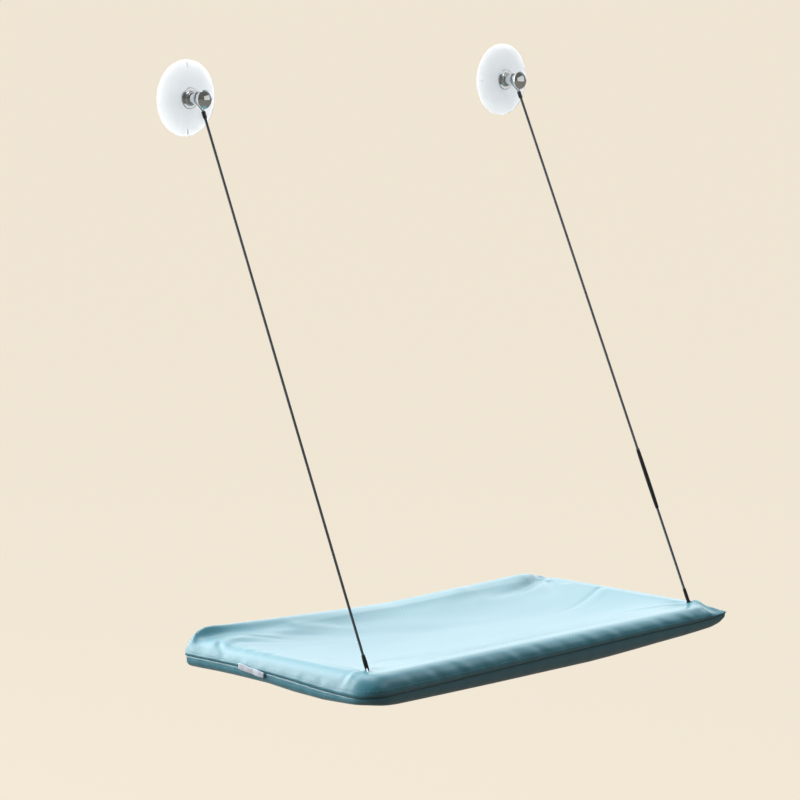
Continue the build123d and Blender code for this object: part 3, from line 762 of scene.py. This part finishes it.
points = np.stack([x, y, height], axis=-1)
faces = grid_faces(*x.shape)[:, ::-1]
faces = faces[~in_slot(points, faces, UNDER_SLOT_FRONT)]
bottom_cloth = quad_mesh("bottom_cloth", points.reshape(-1, 3), faces, flat_place.reshape(-1, 2) * MM)

# %% [markdown]
# Cloth has two faces, so each panel is thickened inwards. Both ride on the bed, and each panel's UV map
# holds its lengths laid flat.

# %% Give the cloth its thickness
for cloth, slot_name in ((top_cloth, "cloth_top_panel"), (bottom_cloth, "cloth_bottom_panel")):
    thick = cloth.modifiers.new("thickness", "SOLIDIFY")
    thick.thickness = CLOTH_THICKNESS * MM
    thick.offset = -1
    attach(cloth, "bed")
    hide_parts(slot_name)

# %% [markdown]
# ## Stitches
# A row of stitches runs round the sleeve just above the seam. Each stitch is a short fat thread,
# six-sided and pointed at both ends, and one array holds them all.

# %% Stitches
STITCH_PITCH = 4.4
STITCH_LENGTH = 3.3
STITCH_RADIUS = 0.3
STITCH_LIFT = 0.05
STITCH_SIDES = 6
STITCH_RINGS = 5


def along_line(line, passed, distances):
    """Points at the given distances along a line, of which passed holds each point's own distance."""
    return np.stack([np.interp(distances, passed, line[:, axis]) for axis in range(3)], axis=-1)


def stitch_row(name, line):
    """Spindles along a closed line. Radius = stitch radius times a power of the sine of the share along,
    which is 0 at both ends."""
    line = np.concatenate([line, line[:1]])
    passed = np.concatenate([[0], np.cumsum(np.linalg.norm(np.diff(line, axis=0), axis=1))])
    places = np.arange(0, passed[-1] - STITCH_PITCH, STITCH_PITCH)
    start = along_line(line, passed, places)
    finish = along_line(line, passed, places + STITCH_LENGTH)
    cut = (np.abs(np.abs(start[:, 0]) - SLOT_X) < SLOT_HALF + STITCH_PITCH) & (start[:, 1] > BACK_AXIS)
    start, finish = start[~cut], finish[~cut]
    along = finish - start
    along /= np.linalg.norm(along, axis=1, keepdims=True)
    out = np.cross(along, (0, 0, 1.0))
    out /= np.linalg.norm(out, axis=1, keepdims=True)
    up = np.cross(out, along)
    shares = np.linspace(0, 1, STITCH_RINGS)
    angles = np.linspace(0, 2 * np.pi, STITCH_SIDES, endpoint=False)
    radius = STITCH_RADIUS * np.sin(np.pi * shares) ** 0.6
    cosine, sine = np.cos(angles)[None, None, :, None], np.sin(angles)[None, None, :, None]
    ring = out[:, None, None] * cosine + up[:, None, None] * sine
    middle = start[:, None] + (finish - start)[:, None] * shares[None, :, None] + out[:, None] * STITCH_LIFT
    points = middle[:, :, None] + ring * radius[None, :, None, None]
    one = grid_faces(len(shares), STITCH_SIDES, wrap=True)
    starts = np.arange(len(start)) * len(shares) * STITCH_SIDES
    row = quad_mesh(name, points.reshape(-1, 3), (one[None] + starts[:, None, None]).reshape(-1, 4))
    close_poles(row)
    print(len(start), "stitches")
    return row


seam_stitches = stitch_row("seam_stitches", stitch_line)
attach(seam_stitches, "bed")

# %% [markdown]
# ## Label
# The label is a white ribbon folded in two, with its ends in the seam. It is bare. Its two layers
# lie on each other, so one flat tube with rounded sides and a shallow wave stands for both.

# %% Label
LABEL_BACK = -92.5
LABEL_FRONT = -130.5
LABEL_MIDDLE_BACK = -2.6
LABEL_MIDDLE_FRONT = -7.0
LABEL_HALF_HEIGHT = 3.3
LABEL_HALF_THICK = 0.8
LABEL_X = -276.9
LABEL_RINGS = 40
LABEL_SIDES = 24
LABEL_END_SHARE = 0.86


def rounded(wave):
    """Square root of a wave's size with the wave's sign, which turns a circle into a rounded square."""
    return np.sign(wave) * np.abs(wave) ** 0.5


def ribbon(name):
    """Flat tube along the seam: a rounded rectangle round each place, a little smaller at both ends and
    closed there, moved by a shallow wave that is a sum of two sines of the share along."""
    share = np.concatenate([[0], np.linspace(0, 1, LABEL_RINGS), [1]])
    swell = np.sin(np.linspace(0, np.pi, LABEL_RINGS)) ** 0.3
    scale = np.concatenate([[0], LABEL_END_SHARE + (1 - LABEL_END_SHARE) * swell, [0]])
    angle = np.linspace(0, 2 * np.pi, LABEL_SIDES, endpoint=False)
    share_grid, angle_grid = np.meshgrid(share, angle, indexing="ij")
    tall = rounded(np.sin(angle_grid))
    thick = rounded(np.cos(angle_grid))
    wave = 0.5 * np.sin(share_grid * 9) + 0.35 * np.sin(share_grid * 17 + 1)
    x = LABEL_X + (thick * LABEL_HALF_THICK) * scale[:, None] - 0.7 * wave
    y = LABEL_BACK + (LABEL_FRONT - LABEL_BACK) * share_grid
    z = LABEL_MIDDLE_BACK + (LABEL_MIDDLE_FRONT - LABEL_MIDDLE_BACK) * share_grid
    z = z + (tall * LABEL_HALF_HEIGHT) * scale[:, None] * (1 + 0.06 * np.sin(share_grid * 11)) + 0.3 * wave
    points = np.stack([x, y, z], axis=-1)
    strip = quad_mesh(name, points.reshape(-1, 3), grid_faces(len(share), len(angle), wrap=True))
    close_poles(strip)
    return strip


label = ribbon("folded_label")
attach(label, "bed")
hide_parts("label")

# %% [markdown]
# ## Finishes
# Every finish is made of shader nodes. One function adds a node with its settings and links, and
# one turns the hex colours that people write into the linear numbers that a shader needs.


# %% Shader helpers
def linear(hex_colour, alpha=1.0):
    """Hex colour to linear. A value up to 0.04045 is divided by 12.92. A larger one plus 0.055 is
    divided by 1.055 and taken to the power 2.4."""
    values = [int(hex_colour[i:i + 2], 16) / 255 for i in (1, 3, 5)]
    return (*[v / 12.92 if v <= 0.04045 else ((v + 0.055) / 1.055) ** 2.4 for v in values], alpha)


def add_node(tree, kind, settings=None, **inputs):
    """Adds a node. Settings are its own properties. An input is a value, or an output to link to it;
    a name like in_0 means the input of that number."""
    made = tree.nodes.new(kind)
    for key, value in (settings or {}).items():
        setattr(made, key, value)
    for key, value in inputs.items():
        socket = made.inputs[int(key[3:])] if key.startswith("in_") else made.inputs[key.replace("_", " ")]
        if isinstance(value, bpy.types.NodeSocket):
            tree.links.new(value, socket)
        else:
            socket.default_value = value
    return made


def new_material(name):
    """Empty material with its output and its main shader."""
    material = bpy.data.materials.new(name)
    material.use_nodes = True
    tree = material.node_tree
    return material, tree, tree.nodes["Principled BSDF"]


def math_node(tree, operation, first, second=0.0, third=0.0):
    """Output of one sum on one, two or three values."""
    values = {"in_0": first, "in_1": second, "in_2": third}
    return add_node(tree, "ShaderNodeMath", {"operation": operation}, **values).outputs[0]


def ramp(tree, value, stops):
    """Colour ramp with the given places and colours."""
    made = add_node(tree, "ShaderNodeValToRGB", Fac=value)
    elements = made.color_ramp.elements
    elements[0].position, elements[0].color = stops[0]
    elements[1].position, elements[1].color = stops[-1]
    for place, colour in stops[1:-1]:
        elements.new(place).color = colour
    return made.outputs["Color"]


# %% [markdown]
# ### Coated woven polyester
# Aqua outdoor canvas with a smooth water-shedding coat. The thread is finer than the picture can
# show, so the plain weave is drawn 1.6 mm wide. Every few threads the weave shows a slanting twill
# line, in patches. Seen along its surface the coat picks up the window's light and looks pale.

# %% Cloth finish
THREAD = 1.6 * MM
TWILL = 3.7 * 2**0.5 * MM
TWILL_SLOPE = 0.87
cloth_finish, tree, shader = new_material("woven_aqua_canvas")
place = add_node(tree, "ShaderNodeUVMap", {"uv_map": "cloth_way"})
parts = add_node(tree, "ShaderNodeSeparateXYZ", Vector=place.outputs["UV"])


def thread_wave(tree, distance, pitch):
    """Sine's size with the given pitch: 0 between threads, 1 on top of each."""
    angle = math_node(tree, "MULTIPLY", distance, math.pi / pitch)
    return math_node(tree, "ABSOLUTE", math_node(tree, "SINE", angle))


warp = thread_wave(tree, parts.outputs["X"], THREAD)
weave = math_node(tree, "MAXIMUM", warp, thread_wave(tree, parts.outputs["Y"], THREAD))
slant = math_node(tree, "MULTIPLY_ADD", parts.outputs["Y"], -TWILL_SLOPE, parts.outputs["X"])
coords = add_node(tree, "ShaderNodeTexCoord")
here = coords.outputs["Object"]
patch = add_node(tree, "ShaderNodeTexNoise", Vector=here, Scale=7.0, Detail=2.0)
patch = add_node(tree, "ShaderNodeMapRange", Value=patch.outputs["Fac"], From_Min=0.48, From_Max=0.66)
twill = math_node(tree, "MULTIPLY", thread_wave(tree, slant, TWILL), patch.outputs["Result"])
slub = add_node(tree, "ShaderNodeTexNoise", Vector=here, Scale=170.0, Detail=3.0, Roughness=0.6)
cloud = add_node(tree, "ShaderNodeTexNoise", Vector=here, Scale=9.0, Detail=2.0)
tone = math_node(tree, "MULTIPLY_ADD", twill, 0.2, math_node(tree, "MULTIPLY", weave, 0.3))
tone = math_node(tree, "MULTIPLY_ADD", slub.outputs["Fac"], 0.35, tone)
tone = math_node(tree, "MULTIPLY_ADD", cloud.outputs["Fac"], 0.2, tone)
colour = ramp(tree, tone, ((0.3, linear("#3F99AC")), (0.6, linear("#49A2B4")), (0.95, linear("#5AB0C1"))))
relief = add_node(tree, "ShaderNodeBump", Height=weave, Strength=0.25, Distance=0.0003)
below = relief.outputs["Normal"]
relief = add_node(tree, "ShaderNodeBump", Height=twill, Strength=0.2, Distance=0.0002, Normal=below)
below = relief.outputs["Normal"]
wrinkle = add_node(tree, "ShaderNodeTexNoise", Vector=here, Scale=30.0, Detail=3.0)
height = wrinkle.outputs["Fac"]
relief = add_node(tree, "ShaderNodeBump", Height=height, Strength=0.35, Distance=0.0012, Normal=below)
rough = add_node(tree, "ShaderNodeMapRange", Value=slub.outputs["Fac"], To_Min=0.36, To_Max=0.5)
tree.links.new(rough.outputs["Result"], shader.inputs["Roughness"])
tree.links.new(colour, shader.inputs["Base Color"])
tree.links.new(relief.outputs["Normal"], shader.inputs["Normal"])
CLOTH_SHINE = {
    "Specular IOR Level": 0.8,
    "Coat Weight": 1.0,
    "Coat IOR": 1.6,
    "Coat Roughness": 0.32,
    "Sheen Weight": 0.45,
    "Sheen Roughness": 0.35,
    "Sheen Tint": linear("#DDF4FA"),
}
for socket, value in CLOTH_SHINE.items():
    shader.inputs[socket].default_value = value
for piece in (top_cloth, bottom_cloth):
    piece.data.materials.append(cloth_finish)

# %% [markdown]
# ### Plated, drawn and moulded finishes
# The metal parts are chromed or drawn steel, and the frame is white vinyl pipe. Small changes of
# roughness from a noise keep each from looking like a toy. The cups are clear soft vinyl, pressed on
# a bright pane. Light spreads inside them, so they look milky and are made by subsurface scatter.


# %% Metal and plastic finishes
def plain_finish(
    name, hex_colour, roughness, metallic=0.0, grain=400.0, spread=0.08, relief=0.0001, **sockets
):
    """A finish whose colour and roughness wander a little with a noise of the given grain, in waves
    per metre. Relief is the depth of its bumps in metres."""
    material, tree, shader = new_material(name)
    coords = add_node(tree, "ShaderNodeTexCoord")
    noise = add_node(tree, "ShaderNodeTexNoise", Vector=coords.outputs["Object"], Scale=grain, Detail=4.0)
    grey = noise.outputs["Fac"]
    dark = tuple(v * (1 - spread * 2) for v in linear(hex_colour)[:3]) + (1,)
    pale = tuple(min(1, v * (1 + spread)) for v in linear(hex_colour)[:3]) + (1,)
    tree.links.new(ramp(tree, grey, ((0.3, dark), (0.7, pale))), shader.inputs["Base Color"])
    smooth, dull = roughness * 0.75, roughness * 1.25
    rough = add_node(tree, "ShaderNodeMapRange", Value=grey, To_Min=smooth, To_Max=dull)
    tree.links.new(rough.outputs["Result"], shader.inputs["Roughness"])
    bumps = add_node(tree, "ShaderNodeBump", Height=grey, Strength=0.2, Distance=relief)
    tree.links.new(bumps.outputs["Normal"], shader.inputs["Normal"])
    shader.inputs["Metallic"].default_value = metallic
    for socket, value in sockets.items():
        shader.inputs[socket.replace("_", " ")].default_value = value
    return material


cup_vinyl = plain_finish(
    "clear_soft_vinyl", "#DEE8F0", 0.32, grain=60.0, spread=0.01,
    Subsurface_Weight=1.0, Subsurface_Scale=0.027, Subsurface_Radius=(1.0, 1.0, 1.0),
    IOR=1.53, Specular_IOR_Level=0.25,
)
chrome = plain_finish(
    "polished_chrome_plate", "#DDE1E4", 0.07, metallic=1.0, grain=900.0, spread=0.03, relief=0.00002
)
stud_steel = plain_finish("turned_steel", "#A9ACB0", 0.3, metallic=1.0, grain=1500.0)
clip_nylon = plain_finish("moulded_white_nylon", "#E9EAE8", 0.35, grain=700.0, spread=0.02)
pipe_vinyl = plain_finish("white_vinyl_pipe", "#E6E6E2", 0.42, grain=500.0, spread=0.02)
coat_vinyl = plain_finish("smoky_vinyl_coat", "#6B7376", 0.24, grain=800.0)
bare_wire = plain_finish("stranded_galvanised_wire", "#B4B8BC", 0.32, metallic=1.0, grain=2500.0)
ferrule_metal = plain_finish("pressed_dull_aluminium", "#55585C", 0.42, metallic=1.0, grain=1200.0)
shrink_rubber = plain_finish("heat_shrunk_sleeve", "#1D1E20", 0.45, grain=900.0)
label_satin = plain_finish("woven_white_satin", "#F0F2FA", 0.5, grain=1200.0, spread=0.04)
# The stitch thread is painted paler than the cloth. This painted highlight hides the shade the stitches
# cast on the wall.
stitch_thread_painted_pale = plain_finish("teal_thread_painted_pale", "#9AD6E2", 0.55, grain=3000.0, spread=0.1)

# %% [markdown]
# The record names a slot for each node, and one table gives each slot its finish. The pieces made
# here take theirs by hand.

# %% Put the finishes on the pieces
SLOT_FINISH = {
    "clear_cup": cup_vinyl,
    "stud_steel": stud_steel,
    "chrome": chrome,
    "clip_plastic": clip_nylon,
    "frame_plastic": pipe_vinyl,
    "cable_coating": coat_vinyl,
    "bare_wire": bare_wire,
    "ferrule_metal": ferrule_metal,
    "splice_sleeve": shrink_rubber,
    "label": label_satin,
    "cloth": cloth_finish,
}
node_slot = {entry["node"]: entry["material_slot"] for entry in frame["record"]["subparts"]}
for node_name, piece in frame["nodes"].items():
    piece.data.materials.clear()
    piece.data.materials.append(SLOT_FINISH[node_slot[node_name]])
for cable in cables.values():
    cable.data.materials.append(coat_vinyl)
for sleeve in dark_sleeves:
    sleeve.data.materials.append(shrink_rubber)
label.data.materials.append(label_satin)
seam_stitches.data.materials.append(stitch_thread_painted_pale)
print(len(SLOT_FINISH), "finishes on", len(node_slot), "nodes")

# %% [markdown]
# ## Studio
# In the photograph light comes from the window side and from above, and the room side is dim, so
# the cloth's front face is dark. The world does the same: bright towards +Y and up, dim towards
# the room. The camera sees a plain cream background. Shiny surfaces see only a small share of it
# and mostly the window and the room.

# %% Floor
CREAM = "#F2E7D5"
FLOOR_SHADE = "#2E3436"
FLOOR_DROP = -0.42
FLOOR_SIZE = 60
FLOOR_GLOW = 0.93
GLOSS_SHARE = 0.15


def backdrop_share(tree):
    """1 for rays from the camera, also through clear pieces, a small share for reflections, or else 0."""
    path = add_node(tree, "ShaderNodeLightPath").outputs
    seen = math_node(tree, "MAXIMUM", path["Is Camera Ray"], path["Is Transmission Ray"])
    mirrored = math_node(tree, "MULTIPLY", path["Is Glossy Ray"], GLOSS_SHARE)
    return math_node(tree, "MAXIMUM", seen, mirrored)


corners = np.array([(-1, -1, 0), (1, -1, 0), (1, 1, 0), (-1, 1, 0)], float) * FLOOR_SIZE / 2
corners[:, 2] = FLOOR_DROP
floor = quad_mesh("floor", corners / MM, np.array([[0, 1, 2, 3]]))
floor_finish, tree, shader = new_material("pale_plaster_floor")
seen = backdrop_share(tree)
shades = {"in_6": linear(FLOOR_SHADE), "in_7": linear(CREAM)}
tone = add_node(tree, "ShaderNodeMix", {"data_type": "RGBA"}, in_0=seen, **shades)
tree.links.new(tone.outputs[2], shader.inputs["Base Color"])
shader.inputs["Roughness"].default_value = 0.9
shader.inputs["Specular IOR Level"].default_value = 0.0
glow = add_node(tree, "ShaderNodeEmission", Color=linear(CREAM), Strength=1.0)
share = math_node(tree, "MULTIPLY", seen, FLOOR_GLOW)
mixed = add_node(tree, "ShaderNodeMixShader", in_0=share, in_1=shader.outputs[0], in_2=glow.outputs[0])
tree.links.new(mixed.outputs[0], tree.nodes["Material Output"].inputs["Surface"])
floor.data.materials.append(floor_finish)

# %% [markdown]
# The world's light is a colour ramp over how far a direction points to the window: dark towards the
# room, bright round the window. Camera rays get the cream backdrop instead.

# %% World
WINDOW_WAY = Vector((0.15, 0.9, 0.32)).normalized()
WINDOW_STRENGTH = 1.74
world = bpy.data.worlds.new("window_light")
scene.world = world
world.use_nodes = True
tree = world.node_tree
tree.nodes.clear()
direction = add_node(tree, "ShaderNodeTexCoord")
dot = {"operation": "DOT_PRODUCT"}
way = add_node(tree, "ShaderNodeVectorMath", dot, in_0=direction.outputs["Generated"], in_1=WINDOW_WAY)
way = add_node(tree, "ShaderNodeMapRange", Value=way.outputs["Value"], From_Min=-1.0)
WINDOW_STOPS = (
    (0.0, linear("#101618")),
    (0.5, linear("#182023")),
    (0.67, linear("#8C9CA8")),
    (0.79, linear("#FBFDFF")),
)
light = ramp(tree, way.outputs["Result"], WINDOW_STOPS)
shine = add_node(tree, "ShaderNodeBackground", Color=light, Strength=WINDOW_STRENGTH)
plain = add_node(tree, "ShaderNodeBackground", Color=linear(CREAM), Strength=1.0)
seen = backdrop_share(tree)
mixed = add_node(tree, "ShaderNodeMixShader", in_0=seen, in_1=shine.outputs[0], in_2=plain.outputs[0])
add_node(tree, "ShaderNodeOutputWorld", Surface=mixed.outputs[0])

# %% [markdown]
# Four lamps stand in for the room. The key and the head are large and lie behind the glass, one low
# on the left and one high. The soft top lights the cloth from above. The pale ceiling is weak, and
# is there for the chrome to mirror.


# %% Lamps
def area_lamp(name, place, aim, size, power, shine, height=None):
    """Square lamp, or an oblong with a height, turned to an aim point. Shine is the share of it that
    gloss shows."""
    data = bpy.data.lights.new(name, "AREA")
    data.shape = "RECTANGLE"
    data.size = size
    data.size_y = height or size
    data.energy = power
    data.specular_factor = shine
    lamp = bpy.data.objects.new(name, data)
    lamp.location = place
    lamp.rotation_euler = (Vector(place) - Vector(aim)).to_track_quat("Z", "Y").to_euler()
    scene.collection.objects.link(lamp)


area_lamp("window_key", (-1.35, 1.6, 0.8), (0, -0.15, 0.1), 2.0, 32, 0.5)
area_lamp("pale_ceiling", (0.4, -0.75, 0.72), (-0.05, -0.03, 0.57), 1.3, 1.5, 1.0, height=0.55)
area_lamp("window_head", (-0.4, 1.6, 1.7), (0, -0.15, 0.0), 1.3, 8, 0.6)
area_lamp("soft_top", (-0.6, -0.1, 3.4), (0, -0.15, 0.0), 2.2, 32, 0.3)

# %% [markdown]
# ## Last step
# The scene's view transform is set to Standard.

# %% Finish
scene.view_settings.view_transform = "Standard"
